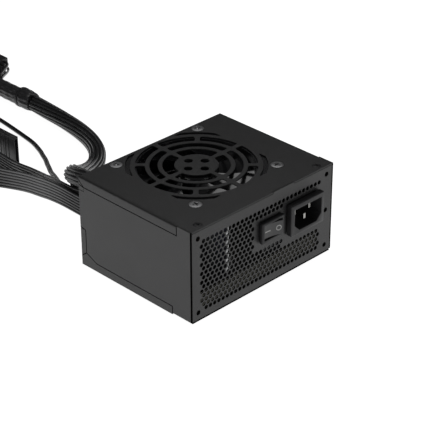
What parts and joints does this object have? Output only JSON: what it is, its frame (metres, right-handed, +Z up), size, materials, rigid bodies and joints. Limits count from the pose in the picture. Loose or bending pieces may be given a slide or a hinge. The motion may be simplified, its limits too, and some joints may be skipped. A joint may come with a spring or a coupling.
{
  "type": "power supply unit",
  "caption": "Compact computer power supply in a folded steel case, with a top fan, a mains inlet, a rocker switch and its output cables.",
  "frame": {"origin": "centre of the underside of the case", "axes": "+X along the inlet face towards its inlet end, +Y from the inlet face to the cable side, +Z up out of the fan grille"},
  "size_m": [0.1523, 0.3918, 0.0639],
  "materials": {
    "case_paint": "fine-grained dark grey powder coat on steel sheet",
    "fan_screws": "nickel-plated steel, bright rim",
    "cover_screws": "black oxide steel",
    "board_screws": "zinc-plated steel",
    "fan_frame": "black moulded plastic, satin",
    "fan_rotor": "black moulded plastic, glossy",
    "ferrite": "dark sintered ferrite, matt",
    "steel": "turned steel",
    "copper": "enamelled copper wire windings",
    "inlet_plastic": "black moulded plastic, fine texture",
    "switch_plastic": "black moulded plastic",
    "rocker_plastic": "black moulded plastic with pale marks",
    "contact_metal": "tin or nickel-plated brass",
    "board_resin": "brown fibre-glass circuit board",
    "insulating_sheet": "beige insulating sheet, matt",
    "heatsink": "mill-finish aluminium",
    "epoxy": "black epoxy package",
    "winding_tape": "yellow polyester tape",
    "capacitor_sleeve": "dark shrink sleeve",
    "film_capacitor": "yellow plastic box",
    "brown_wire": "brown insulated wire",
    "blue_wire": "blue insulated wire",
    "wire_skin": "black insulated wire, satin",
    "ribbon_skin": "black ribbed flat cable, satin",
    "rubber": "black rubber edging",
    "shrink_tube": "dark grey shrink tube",
    "plug_plastic": "black moulded nylon"
  },
  "bodies": {
    "case": {"board_screw_1": "board_screws", "board_screw_2": "board_screws", "board_screw_3": "board_screws", "board_screw_4": "board_screws", "boost_choke": "copper", "bottom_tray": "case_paint", "bridge_rectifier": "epoxy", "bulk_capacitor": "capacitor_sleeve", "cable_grommet": "rubber", "cover_screw_1": "cover_screws", "cover_screw_2": "cover_screws", "disk_plug": "plug_plastic", "disk_ribbon": "ribbon_skin", "drive_plug": "plug_plastic", "drive_ribbon": "ribbon_skin", "earth_pin": "contact_metal", "fan_bearing": "steel", "fan_frame": "fan_frame", "fan_screw_1": "fan_screws", "fan_screw_2": "fan_screws", "fan_screw_3": "fan_screws", "fan_screw_4": "fan_screws", "fan_signal_lead": "wire_skin", "fan_signal_plug": "plug_plastic", "fan_stator": "copper", "film_capacitor": "film_capacitor", "filter_choke": "copper", "front_panel": "case_paint", "inlet_housing": "inlet_plastic", "inner_harness": "wire_skin", "insulating_sheet": "insulating_sheet", "left_side_panel": "case_paint", "live_pin": "contact_metal", "live_wire": "brown_wire", "main_board": "board_resin", "main_cable": "wire_skin", "main_collar": "shrink_tube", "main_plug": "plug_plastic", "main_sleeve": "shrink_tube", "neutral_pin": "contact_metal", "neutral_wire": "blue_wire", "output_capacitor_1": "capacitor_sleeve", "output_capacitor_2": "capacitor_sleeve", "output_choke": "copper", "power_transistor": "epoxy", "primary_heatsink": "heatsink", "right_side_panel": "case_paint", "secondary_heatsink": "heatsink", "switch_housing": "switch_plastic", "switch_terminal_1": "contact_metal", "switch_terminal_2": "contact_metal", "top_cover": "case_paint", "transformer_core": "ferrite", "transformer_winding": "winding_tape", "wire_spread": "wire_skin"},
    "rotor": {"fan_rotor": "fan_rotor", "fan_magnet": "ferrite", "fan_shaft": "steel"},
    "rocker": {"switch_rocker": "rocker_plastic"},
    "plug_latch": {"main_plug_latch": "plug_plastic"}
  },
  "joints": [
    {"name": "fan_spin", "type": "hinge", "parent": "case", "child": "rotor", "pos_m": [0, 0.009, 0.055], "axis": [0, 0, 1], "continuous": true},
    {"name": "power_rocker", "type": "hinge", "parent": "case", "child": "rocker", "pos_m": [0.00525, -0.0512, 0.03975], "axis": [0, 0, 1], "range_deg": [0, 20]},
    {"name": "plug_latch_tilt", "type": "hinge", "parent": "case", "child": "plug_latch", "pos_m": [0.064, 0.3245, 0.0104], "axis": [1, 0, 0], "range_deg": [0, 8], "stiffness_Nm_per_rad": 0.02}
  ]
}
